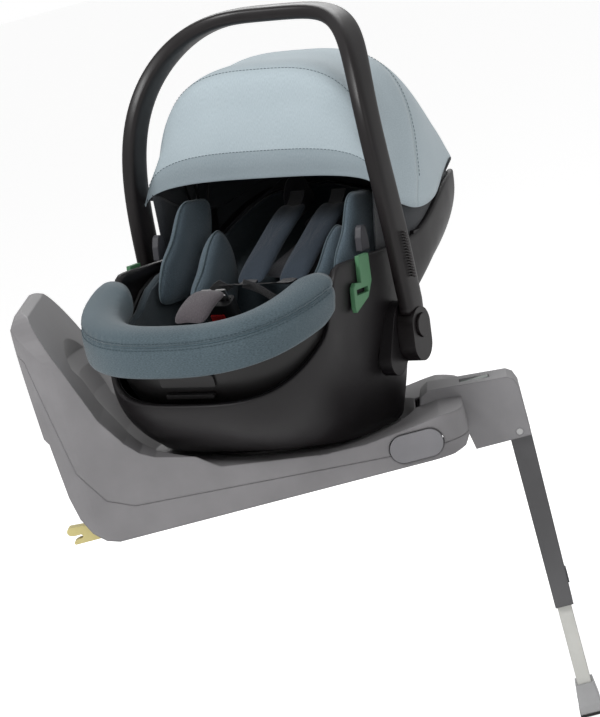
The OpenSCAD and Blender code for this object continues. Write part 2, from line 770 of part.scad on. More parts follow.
base_lower_casing();
base_upper_casing();
base_mat();
casing_screws();
isofix_arm(-1);  // isofix_arm_left
isofix_arm(1);  // isofix_arm_right
isofix_connector(-1);  // isofix_connector_left
isofix_connector(1);  // isofix_connector_right
isofix_release(-1);  // isofix_release_left
isofix_release(1);  // isofix_release_right
swivel_knob(-1);  // swivel_knob_left
swivel_knob(1);  // swivel_knob_right
leg_arm();
leg_indicator();
leg_hinge_pin();
leg_outer_tube();
leg_inner_tube();
leg_height_button();
leg_foot();
foot_sole();
turntable();
turntable_axle();
outer_shell();
inner_tub();
shell_glides();
adjuster_panel();
adjuster_lever();
handle_boss(-1);  // handle_boss_left
handle_boss(1);  // handle_boss_right
pivot_pin(-1);  // pivot_pin_left
pivot_pin(1);  // pivot_pin_right
handle_hub(-1);  // handle_hub_left
handle_hub(1);  // handle_hub_right
handle_button(-1);  // handle_button_left
handle_button(1);  // handle_button_right
carry_handle();
belt_guide(-1);  // belt_guide_left
belt_guide(1);  // belt_guide_right
release_tab(-1);  // release_tab_left
release_tab(1);  // release_tab_right
canopy_bow_front();
canopy_bow_middle();
canopy_bow_rear();
canopy_brackets();
canopy_visor();
canopy_panel();
canopy_hood();
bolster();
seat_lining();
backrest_pad();
headrest();
wing_pad(-1);  // wing_pad_left
wing_pad(1);  // wing_pad_right
side_pad(-1);  // side_pad_left
side_pad(1);  // side_pad_right
shoulder_pads();
crotch_pad();
buckle_body();
buckle_button();
buckle_tongues();
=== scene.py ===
# %% [markdown]
# # Infant car seat on a swivel base
# This lesson dresses a finished mechanical model of an infant carrier. The frame holds every hard piece
# at its true place. Each step adds one soft or smooth piece over it and says how the real one is made.

# %% Load the frame and remember its box
import json
import math
import bpy
import bmesh
import numpy as np
from mathutils import Matrix, Vector


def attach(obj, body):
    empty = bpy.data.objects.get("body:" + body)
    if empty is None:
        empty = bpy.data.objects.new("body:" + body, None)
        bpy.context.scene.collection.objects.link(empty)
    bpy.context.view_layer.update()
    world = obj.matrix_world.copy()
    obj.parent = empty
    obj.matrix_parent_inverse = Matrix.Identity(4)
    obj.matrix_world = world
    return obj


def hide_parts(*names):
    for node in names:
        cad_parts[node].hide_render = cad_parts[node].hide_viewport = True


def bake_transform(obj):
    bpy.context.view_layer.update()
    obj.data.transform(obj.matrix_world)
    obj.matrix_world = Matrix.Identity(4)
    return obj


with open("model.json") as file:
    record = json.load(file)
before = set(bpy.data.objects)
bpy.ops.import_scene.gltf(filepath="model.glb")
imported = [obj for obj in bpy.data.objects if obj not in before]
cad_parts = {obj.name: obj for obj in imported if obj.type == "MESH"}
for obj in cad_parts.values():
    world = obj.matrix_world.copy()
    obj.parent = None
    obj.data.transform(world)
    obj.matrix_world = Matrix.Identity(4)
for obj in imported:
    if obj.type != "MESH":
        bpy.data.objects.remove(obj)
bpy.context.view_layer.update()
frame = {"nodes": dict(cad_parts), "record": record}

# %% [markdown]
# ## The carrier's own axes
# The carrier stands turned on a tilted turntable. It is easier to think in its own axes: x across,
# y towards the head end, z along the turntable's axis, starting between the two handle pivots.
# `seat` turns such a place, in millimetres, into the model's place, in metres.

# %% Carrier axes
tilt, turn = math.radians(8), math.radians(62)
across_axis = np.array([math.cos(turn), math.sin(turn) * math.cos(tilt), -math.sin(turn) * math.sin(tilt)])
head_axis = np.array([-math.sin(turn), math.cos(turn) * math.cos(tilt), -math.cos(turn) * math.sin(tilt)])
up_axis = np.array([0, math.sin(tilt), math.cos(tilt)])
pivot_middle = np.array([0, 0, 58]) + 60 * head_axis + 152 * up_axis


def seat(p):
    p = np.asarray(p, float)
    return (pivot_middle + p @ np.array([across_axis, head_axis, up_axis])) / 1000


print("pivots' middle:", seat([0, 0, 0]).round(4))

# %% [markdown]
# ## Turning rows of points into a surface
# Moulded shells, cushions and cloth all follow the same plan here: rows of points, joined into quads.
# The map of the surface is laid out in metres, so a weave keeps its real thread size everywhere.

# %% Surface builder
def surface(name, rows, around=False, loop=False, caps=False):
    g = seat(np.asarray(rows, float))
    m, n = g.shape[:2]
    du = np.linalg.norm(np.roll(g, -1, 1) - g, axis=2)
    dv = np.linalg.norm(np.roll(g, -1, 0) - g, axis=2)
    u = np.concatenate([[0], np.cumsum(du.mean(0))])
    v = np.concatenate([[0], np.cumsum(dv.mean(1))])
    verts = [tuple(p) for row in g for p in row]
    faces, maps = [], []
    for i in range(m if loop else m - 1):
        for j in range(n if around else n - 1):
            a, b, c, d = (i, j), (i, (j + 1) % n), ((i + 1) % m, (j + 1) % n), ((i + 1) % m, j)
            faces.append([p[0] * n + p[1] for p in (a, b, c, d)])
            maps.append([(u[j], v[i]), (u[j + 1], v[i]), (u[j + 1], v[i + 1]), (u[j], v[i + 1])])
    if caps:
        for k, row in ((0, 0), (1, m - 1)):
            verts.append(tuple(g[row].mean(0)))
            for j in range(n):
                pair = [row * n + j, row * n + (j + 1) % n]
                faces.append([*(pair[::-1] if k == 0 else pair), len(verts) - 1])
                maps.append([(u[j], 0), (u[j + 1], 0), (u[j], 0.01)])
    mesh = bpy.data.meshes.new(name)
    mesh.from_pydata(verts, [], faces)
    layer = mesh.uv_layers.new(name="UVMap")
    layer.data.foreach_set("uv", [x for face in maps for pair in face for x in pair])
    made = bpy.data.objects.new(name, mesh)
    bpy.context.scene.collection.objects.link(made)
    if around or loop or caps:
        work = bmesh.new()
        work.from_mesh(mesh)
        bmesh.ops.recalc_face_normals(work, faces=work.faces)
        if work.calc_volume(signed=True) < 0:
            bmesh.ops.reverse_faces(work, faces=work.faces)
        work.to_mesh(mesh)
        work.free()
    mesh.shade_smooth()
    return made


def apply_all(piece):
    dg = bpy.context.evaluated_depsgraph_get()
    mesh = bpy.data.meshes.new_from_object(piece.evaluated_get(dg))
    piece.modifiers.clear()
    piece.data = mesh
    return piece


def spow(v, k):
    return np.sign(v) * np.abs(v) ** k


def ease(t):
    t = np.clip(t, 0, 1)
    return t * t * (3 - 2 * t)


def mix(a, b, t):
    return a + (b - a) * t


print("surface builder ready")

# %% [markdown]
# ## Finishes: moulded plastic
# Injection-moulded car seat parts have a fine spark-eroded grain and a soft edge. Grain is a small bump
# from noise at about half a millimetre, and roughness drifts a little from handling. The Bevel node
# rounds the hard edges of the mechanical pieces by about a millimetre without changing them.

# %% Plastic, metal and rubber
def new_material(name):
    material = bpy.data.materials.new(name)
    material.use_nodes = True
    nodes = material.node_tree.nodes
    return material, nodes, material.node_tree.links, nodes["Principled BSDF"]


def moulded(name, colour, rough=0.5, grain=0.25, size=900, edge=0.0012, metal=0.0, drift=0.06):
    material, nodes, links, shader = new_material(name)
    shader.inputs["Metallic"].default_value = metal
    shader.inputs["Specular IOR Level"].default_value = 0.4
    place = nodes.new("ShaderNodeTexCoord")
    fine = nodes.new("ShaderNodeTexNoise")
    fine.inputs["Scale"].default_value = size
    fine.inputs["Detail"].default_value = 3
    broad = nodes.new("ShaderNodeTexNoise")
    broad.inputs["Scale"].default_value = 14
    broad.inputs["Detail"].default_value = 4
    for tex in (fine, broad):
        links.new(place.outputs["Object"], tex.inputs["Vector"])
    span = nodes.new("ShaderNodeMapRange")
    span.inputs["From Min"].default_value = 0.3
    span.inputs["From Max"].default_value = 0.7
    span.inputs["To Min"].default_value = rough - drift
    span.inputs["To Max"].default_value = rough + drift
    links.new(broad.outputs["Fac"], span.inputs["Value"])
    links.new(span.outputs["Result"], shader.inputs["Roughness"])
    ramp = nodes.new("ShaderNodeValToRGB")
    ramp.color_ramp.elements[0].position = 0.3
    ramp.color_ramp.elements[1].position = 0.7
    ramp.color_ramp.elements[0].color = (*[c * 0.9 for c in colour], 1)
    ramp.color_ramp.elements[1].color = (*[min(1, c * 1.08) for c in colour], 1)
    links.new(broad.outputs["Fac"], ramp.inputs["Fac"])
    links.new(ramp.outputs["Color"], shader.inputs["Base Color"])
    soft = nodes.new("ShaderNodeBevel")
    soft.samples = 4
    soft.inputs["Radius"].default_value = edge
    bump = nodes.new("ShaderNodeBump")
    bump.inputs["Strength"].default_value = grain
    bump.inputs["Distance"].default_value = 0.0002
    links.new(fine.outputs["Fac"], bump.inputs["Height"])
    links.new(soft.outputs["Normal"], bump.inputs["Normal"])
    links.new(bump.outputs["Normal"], shader.inputs["Normal"])
    return material


shell_plastic = moulded("shell_plastic", (0.0080, 0.0066, 0.0076), rough=0.45, edge=0.002)
tub_plastic = moulded("tub_plastic", (0.0155, 0.0145, 0.0150), rough=0.42)
handle_plastic = moulded("handle_plastic", (0.0082, 0.0062, 0.0068), rough=0.40)
strip_plastic = moulded("strip_plastic", (0.040, 0.036, 0.037), rough=0.5)
casing_plastic = moulded("casing_plastic", (0.215, 0.209, 0.216), rough=0.5, edge=0.004)
arm_plastic = moulded("arm_plastic", (0.240, 0.235, 0.243), rough=0.5, edge=0.004)
knob_plastic = moulded("knob_plastic", (0.205, 0.202, 0.214), rough=0.42, edge=0.002)
leg_grey = moulded("leg_grey", (0.100, 0.099, 0.103), rough=0.4, edge=0.004)
leg_silver = moulded("leg_silver", (0.57, 0.57, 0.54), rough=0.42, edge=0.003, grain=0.1)
foot_plastic = moulded("foot_plastic", (0.37, 0.37, 0.375), rough=0.55, edge=0.003)
tab_plastic = moulded("tab_plastic", (0.054, 0.054, 0.062), rough=0.5, edge=0.003)
guide_plastic = moulded("guide_plastic", (0.075, 0.200, 0.100), rough=0.42, edge=0.002)
connector_plastic = moulded("connector_plastic", (0.62, 0.54, 0.24), rough=0.45)
buckle_plastic = moulded("buckle_plastic", (0.014, 0.014, 0.015), rough=0.35)
red_plastic = moulded("red_plastic", (0.48, 0.016, 0.016), rough=0.3, grain=0.08)
window_plastic = moulded("window_plastic", (0.2, 0.24, 0.22), rough=0.25, grain=0.05)
dark_rubber = moulded("dark_rubber", (0.02, 0.02, 0.02), rough=0.75, grain=0.5, size=500)
steel = moulded("steel", (0.5, 0.5, 0.5), rough=0.32, metal=1.0, grain=0.15, size=300)
print("plastics:", len([m for m in bpy.data.materials if "plastic" in m.name]))

# %% [markdown]
# ## Finishes: cloth
# The bolster and pads wear a heather knit: two yarns of slightly different blue-grey, spun together.
# The canopy is a plain weave of fine light yarn with a dull sheen. Two crossed wave patterns on the
# surface's own map give the threads, and a stretched noise mixes the two yarns.

# %% Cloth
def cloth(name, light, dark, thread=0.0011, blend_scale=900, rough=0.85, relief=0.5, sheen=0.25):
    material, nodes, links, shader = new_material(name)
    shader.inputs["Roughness"].default_value = rough
    shader.inputs["Sheen Weight"].default_value = sheen
    shader.inputs["Sheen Roughness"].default_value = 0.45
    place = nodes.new("ShaderNodeTexCoord")
    waves = []
    for turn_z in (0, math.pi / 2):
        turned = nodes.new("ShaderNodeMapping")
        turned.inputs["Rotation"].default_value = (0, 0, turn_z)
        wave = nodes.new("ShaderNodeTexWave")
        wave.inputs["Scale"].default_value = 0.314 / thread
        wave.inputs["Distortion"].default_value = 0.6
        wave.inputs["Detail Scale"].default_value = 1.5
        links.new(place.outputs["UV"], turned.inputs["Vector"])
        links.new(turned.outputs["Vector"], wave.inputs["Vector"])
        waves.append(wave)
    weave = nodes.new("ShaderNodeMath")
    weave.operation = "ADD"
    links.new(waves[0].outputs["Fac"], weave.inputs[0])
    links.new(waves[1].outputs["Fac"], weave.inputs[1])
    stretched = nodes.new("ShaderNodeMapping")
    stretched.inputs["Scale"].default_value = (1, 0.35, 1)
    yarn = nodes.new("ShaderNodeTexNoise")
    yarn.inputs["Scale"].default_value = blend_scale
    yarn.inputs["Detail"].default_value = 4
    links.new(place.outputs["UV"], stretched.inputs["Vector"])
    links.new(stretched.outputs["Vector"], yarn.inputs["Vector"])
    broad = nodes.new("ShaderNodeTexNoise")
    broad.inputs["Scale"].default_value = 9
    broad.inputs["Detail"].default_value = 5
    links.new(place.outputs["Object"], broad.inputs["Vector"])
    both = nodes.new("ShaderNodeMath")
    both.operation = "MULTIPLY_ADD"
    both.inputs[1].default_value = 0.35
    links.new(broad.outputs["Fac"], both.inputs[0])
    links.new(yarn.outputs["Fac"], both.inputs[2])
    ramp = nodes.new("ShaderNodeValToRGB")
    ramp.color_ramp.elements[0].position = 0.5
    ramp.color_ramp.elements[1].position = 0.86
    ramp.color_ramp.elements[0].color = (*dark, 1)
    ramp.color_ramp.elements[1].color = (*light, 1)
    links.new(both.outputs["Value"], ramp.inputs["Fac"])
    links.new(ramp.outputs["Color"], shader.inputs["Base Color"])
    bump = nodes.new("ShaderNodeBump")
    bump.inputs["Strength"].default_value = relief
    bump.inputs["Distance"].default_value = thread * 0.3
    links.new(weave.outputs["Value"], bump.inputs["Height"])
    links.new(bump.outputs["Normal"], shader.inputs["Normal"])
    return material


canopy_cloth = cloth("canopy_cloth", (0.470, 0.550, 0.590), (0.390, 0.465, 0.505),
                     thread=0.0007, relief=0.25, sheen=0.2)
# The hem band's cloth is a darker copy of the canopy cloth. Its darkness is painted shade for the hem's
# down-facing side.
hem_cloth_painted_shade = cloth("hem_cloth_painted_shade", (0.340, 0.405, 0.440), (0.280, 0.340, 0.375),
                  thread=0.0007, relief=0.25, sheen=0.2)
lining_cloth = cloth("lining_cloth", (0.030, 0.034, 0.040), (0.018, 0.021, 0.026), thread=0.0008, relief=0.3)
bolster_cloth = cloth("bolster_cloth", (0.092, 0.131, 0.153), (0.047, 0.074, 0.090))
pad_cloth = cloth("pad_cloth", (0.108, 0.150, 0.182), (0.056, 0.085, 0.108))
tub_cloth = cloth("tub_cloth", (0.040, 0.058, 0.070), (0.021, 0.033, 0.042))
# The backrest and headrest cloth is near black and darker than the pads beside it. This is painted shade for
# the shaded middle of the seat.
back_cloth = cloth("back_cloth", (0.036, 0.037, 0.044), (0.019, 0.020, 0.025), thread=0.0008)
strap_cloth = cloth("strap_cloth", (0.030, 0.045, 0.066), (0.015, 0.025, 0.039))
crotch_cloth = cloth("crotch_cloth", (0.098, 0.083, 0.092), (0.060, 0.051, 0.058))
webbing = cloth("webbing", (0.032, 0.032, 0.036), (0.018, 0.018, 0.021), thread=0.0016, relief=0.8)
seam_cloth = cloth("seam_cloth", (0.070, 0.112, 0.134), (0.040, 0.070, 0.088))
thread_dark = moulded("thread_dark", (0.045, 0.072, 0.088), rough=0.8, grain=0.6, size=2500)
print("cloths:", len([m for m in bpy.data.materials if "cloth" in m.name]))

# %% [markdown]
# Each hard piece already has its true shape. Only its material slot changes here, which keeps the mesh and
# its place as they are. A few pieces that share a slot get a finish of their own.

# %% Put the finishes on the mechanical pieces
finish_of = {
    "casing_grey": casing_plastic, "rubber_dark": dark_rubber, "steel": steel,
    "connector_yellow": connector_plastic, "button_grey": tab_plastic, "indicator_green": window_plastic,
    "leg_silver": leg_silver, "foot_grey": foot_plastic, "turntable_dark": tub_plastic,
    "shell_dark": shell_plastic, "tub_dark": tub_plastic, "handle_dark": handle_plastic,
    "guide_green": guide_plastic, "bow_grey": tub_plastic, "buckle_black": buckle_plastic,
    "button_red": red_plastic,
}
special = {"leg_arm": arm_plastic, "swivel_knob_left": knob_plastic, "swivel_knob_right": knob_plastic,
           "leg_outer_tube": leg_grey}
slots = {s["node"]: s["material_slot"] for s in frame["record"]["subparts"]}
painted = 0
for node, piece in frame["nodes"].items():
    made = special.get(node) or finish_of.get(slots[node])
    if made:
        piece.data.materials.clear()
        piece.data.materials.append(made)
        painted += 1
print("painted nodes:", painted)


def wear(piece, material, body="carrier"):
    piece.data.materials.clear()
    piece.data.materials.append(material)
    if body:
        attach(piece, body)
    return piece


# %% [markdown]
# ## The moulded shell and tub
# The real shell is one thin moulding, wide and low at the foot end, with two raised horns beside the
# hips and a long rising head end. Its wall follows one rule from the small outline at the bottom to the
# large one at the rim, so rows of points by that rule make it. The rim is rolled outwards and thick.

# %% Shell and tub
shell_half_w, shell_foot, shell_head, rim_head_z, hub_h = 191, 302, 416, 176, 152
horn_z, horn_front, horn_back, horn_back_z = 115, -156, -92, 113
foot_low_y, head_low_y, low_half_w = -210, 114, 160


def rim_z(y):
    front = (mix(-52, 44, np.clip((y + shell_foot) / 132, 0, 1) ** 1.35)
             + (horn_z - 44) * ease((y - horn_front + 34) / 34))
    middle = mix(horn_z, horn_back_z, ease((y - horn_back) / 50))
    back = mix(horn_back_z, rim_head_z, ease((y - 60) / 220)) - 30 * ease((y - shell_head + 60) / 60)
    return np.where(y < horn_front, front, np.where(y < horn_back + 50, middle, back))


def tub_rim_z(y):
    return (10 + 0.28 * np.maximum(0, np.minimum(y, -140) + shell_foot) + 52 * ease((y + 140) / 60)
            + (rim_head_z - 116) * ease((y - 60) / 220) - 30 * ease((y - shell_head + 60) / 60))


def low_z(y):
    return -hub_h + 6 + 8 * np.clip((-60 - y) / 126, 0, 1) ** 2 + 12 * np.clip((y - 10) / 72, 0, 1) ** 2


def plan(a, t, inset):
    grow = 1 - (1 - t) ** 2
    half_w = mix(low_half_w, shell_half_w, grow) - inset
    foot = mix(foot_low_y, -shell_foot, grow) + inset
    head_low = head_low_y + 28 * (1 - (1 - min(1, 2 * t)) ** 2)
    head = mix(head_low, shell_head, 1 - (1 - np.clip((t - 0.54) / 0.42, 0, 1)) ** 2) - inset
    middle = mix(-40, -90, t)
    low = np.sin(a) < 0
    bend = np.where(low, 0.72, 0.56)
    y = middle + np.where(low, middle - foot, head - middle) * spow(np.sin(a), bend)
    taper = 1 - 0.2 * np.clip((y - 110) / (shell_head - 110), 0, 1) ** 1.6
    return half_w * spow(np.cos(a), bend) * taper, y


ring = np.linspace(0, 2 * math.pi, 161)[:-1]


def cup_row(rim, t, inset, lift, drop=0.0):
    x, y = plan(ring, t, inset)
    _, top = plan(ring, 1, inset)
    return np.stack([x, y, mix(low_z(y) + lift, rim(top) - drop, t)], -1)


def smoothed(row, times=3):
    for _ in range(times):
        row = row * 0.5 + (np.roll(row, 1, 0) + np.roll(row, -1, 0)) * 0.25
    return row


def cup(name, rim, inset, lift, wall, lip, rounds=2):
    up = np.concatenate([np.linspace(0, 0.5, 12)[:-1], np.linspace(0.5, 1, 26)])
    rows = [cup_row(rim, t, inset, lift) for t in up]
    for a in np.linspace(0.25, 1, 4) * math.pi / 2:
        x, y = plan(ring, 1, inset + lip * (1 - math.cos(a)) * 0.5)
        rows.append(np.stack([x, y, rim(plan(ring, 1, inset)[1]) + lip * 0.35 * math.sin(a)], -1))
    for a in np.linspace(0.25, 1, 4) * math.pi / 2:
        x, y = plan(ring, 1, inset + lip * (0.5 + 0.5 * math.sin(a)))
        rows.append(np.stack([x, y, rim(plan(ring, 1, inset)[1]) + lip * 0.35 * math.cos(a)], -1))
    for t in up[::-1]:
        deep = wall + (lip - wall) * float(ease((t - 0.9) / 0.08))
        rows.append(cup_row(rim, t, inset + deep, lift + wall))
    return surface(name, [smoothed(r, rounds) for r in rows], around=True, caps=True)


shell = wear(cup("outer_shell_smooth", rim_z, 0, 0, 3, 10), shell_plastic)
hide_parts("outer_shell")
tub = wear(cup("inner_tub_smooth", tub_rim_z, 8, 34, 3, 3), tub_plastic)
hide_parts("inner_tub")
print("shell faces:", len(shell.data.polygons), "tub faces:", len(tub.data.polygons))

# %% [markdown]
# ## The carry handle
# The handle is a hollow band of constant section that runs from one pivot over to the other, leaning
# towards the foot at its shoulders and towards the head at its top. A rounded section is carried along
# that middle line. Its flat faces stay flat because the section's sides use a low power of sine.

# %% Handle
handle_h, handle_half_w, band_w, band_t = 477, 228, 46, 24


def handle_line(a):
    rise, spread = np.sin(a), np.cos(a)
    return np.stack([(handle_half_w - band_t / 2) * spow(spread, 0.52),
                     80 * rise ** 1.53 - 156 * rise * spread ** 2,
                     (handle_h - band_t / 2) * rise ** 0.62], -1)


def unit(v):
    return v / np.linalg.norm(v)


section = np.linspace(0, 2 * math.pi, 37)[:-1]


def band_row(p, wide, out, width, thick, power=0.55):
    return (np.asarray(p) + np.outer(spow(np.cos(section), power), wide) * width / 2
            + np.outer(spow(np.sin(section), power), out) * thick / 2)


foot_x, foot_heights = handle_half_w - band_t / 2, (19, 27, 36)
handle_rows = [band_row([-foot_x, 0, z], np.array([0, 1, 0]), np.array([-1, 0, 0]), band_w, band_t)
               for z in foot_heights]
for a in np.radians(np.linspace(177, 3, 90)):
    along = unit(handle_line(a + 0.01) - handle_line(a - 0.01))
    out = unit(np.cross([0, 1, 0], along))
    handle_rows.append(band_row(handle_line(a), unit(np.cross(along, out)), out, band_w, band_t))
handle_rows += [band_row([foot_x, 0, z], np.array([0, 1, 0]), np.array([1, 0, 0]), band_w, band_t)
                for z in foot_heights[::-1]]
handle = wear(surface("carry_handle_smooth", handle_rows, around=True, caps=True),
              handle_plastic, "handle")
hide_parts("carry_handle")
print("handle faces:", len(handle.data.polygons))

# %% [markdown]
# ## Canopy cloth
# The canopy is cut from a few panels but reads as one taut skin over three bows. Stations along it give
# the half width and the height of an arch. A smooth curve runs through the stations, and the cloth dips
# by a few millimetres between bows. Its inner face is a darker lining, so it gets its own material.

# %% Canopy stations
canopy_half_w, canopy_h = 197, 404
stations = np.array([
    [canopy_half_w, -31, 200, -6, 229],
    [canopy_half_w + 1, -30, 205, -8, 236],
    [canopy_half_w, -22, 207, -14, 271],
    [canopy_half_w - 8, -8, 202, -8, 335],
    [canopy_half_w - 10, 14, 190, 8, canopy_h - 17],
    [canopy_half_w - 10, 52, 174, 78, canopy_h],
    [canopy_half_w - 4, 100, 158, 156, canopy_h - 6],
    [canopy_half_w - 14, 172, 162, 228, canopy_h - 46],
    [canopy_half_w - 38, 256, 186, 300, 286],
    [canopy_half_w - 60, 322, 198, 350, 214]], float)
arch = np.linspace(0, math.pi, 121)


def through(points, t):
    i = int(min(max(math.floor(t), 0), len(points) - 2))
    f = t - i
    p = [points[max(0, min(len(points) - 1, i + k))] for k in (-1, 0, 1, 2)]
    return 0.5 * (2 * p[1] + (p[2] - p[0]) * f + (2 * p[0] - 5 * p[1] + 4 * p[2] - p[3]) * f ** 2
                  + (3 * p[1] - p[0] - 3 * p[2] + p[3]) * f ** 3)


def canopy_row(t, inset=0.0):
    st = through(stations, t)
    s = np.sin(arch) ** 0.72
    s[0] = s[-1] = 0
    dip = 0.0
    for a, b, deep in ((2.0, 4.0, 3.5), (4.0, 6.0, 6.0), (6.0, 9.0, 5.0)):
        if a < t < b:
            dip = deep * math.sin(math.pi * (t - a) / (b - a)) ** 2
    pull = inset + dip * np.sin(arch) ** 0.5
    x = (st[0] - pull) * spow(np.cos(arch), 0.62)
    y = mix(st[1], st[3], s)
    z = mix(st[2], st[4], s) - pull * s
    low_edge = np.exp(-((s - 0.12) / 0.16) ** 2)
    crease = 1.6 * np.sin(arch * 19 + t * 2) * low_edge * float(ease((t - 5.2) / 0.8))
    return np.stack([x + np.sign(x) * crease, y, z], -1)


def canopy_sheet(name, t0, t1, steps, inset=0.0):
    made = surface(name, [canopy_row(t, inset) for t in np.linspace(t0, t1, steps)])
    centre = Vector(seat([0, 120, 150]))
    outward = sum((p.center - centre).dot(p.normal) for p in made.data.polygons)
    if outward < 0:
        made.data.flip_normals()
    area = sum(p.area for p in made.data.polygons)
    steps_along = np.diff(seat(canopy_row((t0 + t1) / 2)), axis=0)
    width = float(np.linalg.norm(steps_along, axis=1).sum())
    wall = made.modifiers.new("wall", "SOLIDIFY")
    wall.thickness = 0.0018
    wall.offset = -1
    wall.material_offset = 1
    wall.material_offset_rim = 0
    for material in (canopy_cloth, lining_cloth, hem_cloth_painted_shade, lining_cloth):
        made.data.materials.append(material)
    # The rows in front of the hem seam get the darker hem copy, which is painted shade on the down-facing hem
    # band.
    hem_rows = int((2.0 - t0) / (t1 - t0) * (steps - 1))
    for k in range(max(0, hem_rows) * (len(arch) - 1)):
        made.data.polygons[k].material_index = 2
    apply_all(made)
    print(name, "flat", round(width, 3), "by", round(area / width, 3), "m, area", round(area, 3))
    return made, width, area


# %% Canopy front, from the hem to the rear bow
front, front_w, front_area = canopy_sheet("canopy_cover", 0.0, 6.0, 61)
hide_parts("canopy_visor", "canopy_panel")
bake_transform(front)

# %% [markdown]
# The back of the canopy is fixed to the head end and never moves. It is the same skin, cut at the rear bow,
# because cloth in front of that bow turns with the canopy.

# %% Canopy back, fixed to the head end
hood, hood_w, hood_area = canopy_sheet("canopy_hood_cover", 6.0, 9.0, 37)
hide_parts("canopy_hood")
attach(hood, "carrier")

# %% [markdown]
# ## Side curtains
# Below the canopy's side edges a dark cloth closes the gap down to the shell's rim. It is sewn to the
# rear bow's panel and clipped to the rim, so it stays with the carrier when the canopy folds.

# %% Side curtains
def curtain_rows(side):
    along = [through(stations, t) for t in np.linspace(2.15, 8.6, 60)]
    rows = []
    for f in np.linspace(0, 1, 12):
        line = []
        for st in along:
            y = st[1]
            taper = 1 - 0.2 * max(0, (y - 110) / 306) ** 1.6
            close = max(0.05, 1 - max(0, y / shell_head) ** 3.2) ** 0.30
            rim_x = (shell_half_w - 11) * taper * close
            low = float(rim_z(np.array(y))) - 4
            line.append([side * mix(rim_x, st[0] - 6, f), y, mix(low, st[2] + 9, f)])
        rows.append(line)
    return rows


for side, label in ((1, "right"), (-1, "left")):
    rows = curtain_rows(side)
    curtain = surface(f"side_curtain_{label}", rows)
    thick = curtain.modifiers.new("wall", "SOLIDIFY")
    thick.thickness = 0.0016
    apply_all(curtain)
    wear(curtain, lining_cloth)

# %% [markdown]
# A last strip of dark cloth closes the head end, between the canopy's back edge and the shell's rim. It is
# a ruled surface between those two lines, because the real strip is stretched straight.

# %% Head curtain, from the hood's back edge down to the shell's head rim
sweep = np.clip(arch, 0.22, math.pi - 0.22)
hem_x, hem_y = plan(sweep, 1, 11)
hem_row = np.stack([hem_x, hem_y, rim_z(hem_y) - 4], -1)
back_row = canopy_row(8.97) + np.array([0, 0, -3])
curtain = surface("head_curtain", [mix(hem_row, back_row, f) for f in np.linspace(0, 1, 14)])
thick = curtain.modifiers.new("wall", "SOLIDIFY")
thick.thickness = 0.0016
apply_all(curtain)
wear(curtain, lining_cloth)

# %% [markdown]
# ## The bolster round the legs
# A foam roll wrapped in heather knit runs round the foot end and up to the horns. Its section is a
# crown on top, a piped seam at the widest line, and a flat skirt that is stretched down over the tub.
# The section is carried round the plan outline, which is a squarish oval.

# %% Bolster
def bolster_line(b):
    x = 199 * spow(np.cos(b), 0.78)
    y = -146 + 213 * spow(np.sin(b), 0.80)
    return np.array([x, y])


def bolster_section(b):
    p = bolster_line(b)
    step = bolster_line(b + 0.01) - bolster_line(b - 0.01)
    out = unit(np.array([step[1], -step[0]]))
    if out @ np.array([p[0], p[1] + 146]) < 0:
        out = -out
    widest = 66 + 0.27 * (p[1] + 290)
    end = ease((p[1] + 215) / 70)
    skirt = 44 - 8 * np.clip((p[1] + 300) / 150, 0, 1)
    outline = [(-2, -skirt), (0.5, -skirt * 0.6), (1.5, -14), (0.5, -5), (-1.8, -0.5), (-0.6, 3), (-1, 10),
               (-6, 17),
               (-15, 22), (-28, 24), (-42, 22), (-54, 16), (-61, 6), (-64, -5), (-63, -17), (-56, -30),
               (-42, -42), (-24, -47), (-8, -46)]
    shrink = 1 - 0.45 * end
    rows = []
    for o, z in outline:
        pucker = 0.7 * math.sin(b * 70) * math.exp(-((z - 2) / 9) ** 2) * (o > -10)
        reach = (o + pucker) * shrink
        rows.append([p[0] + out[0] * reach, p[1] + out[1] * reach, widest + z * shrink])
    return np.array(rows)


def fine_loop(points, n):
    m = len(points)
    return np.array([np.array(sum(w * points[(int(t) + k) % m] for k, w in zip((-1, 0, 1, 2), (
        -0.5 * f + f * f - 0.5 * f ** 3, 1 - 2.5 * f * f + 1.5 * f ** 3, 0.5 * f + 2 * f * f - 1.5 * f ** 3,
        -0.5 * f * f + 0.5 * f ** 3)))) for t in np.arange(n) * m / n for f in (t - int(t),)])


turns = np.radians(np.linspace(353, 187, 110))
bolster = surface("bolster_cover", [fine_loop(bolster_section(b), 76) for b in turns], around=True, caps=True)
wear(bolster, bolster_cloth)
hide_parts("bolster")
print("bolster faces:", len(bolster.data.polygons))

# %% [markdown]
# ## Seat liner
# The liner is a quilted cup that lies inside the tub. It follows the tub's own rule at a small distance,
# and its top edge is rolled over.

# %% Liner
liner = wear(cup("seat_liner", tub_rim_z, 16.8, 42.8, 12, 12), tub_cloth)
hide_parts("seat_lining")

# %% [markdown]
# ## Pads
# Each loose pad is a crowned pillow: an outline, a thickness that falls off to the sewn edge, and a
# round piping along that edge. `pillow` builds it from a few outline points in the pad's own plane.

# %% Pillow builder
def smooth_outline(points, n=72):
    return fine_loop(np.asarray(points, float), n)


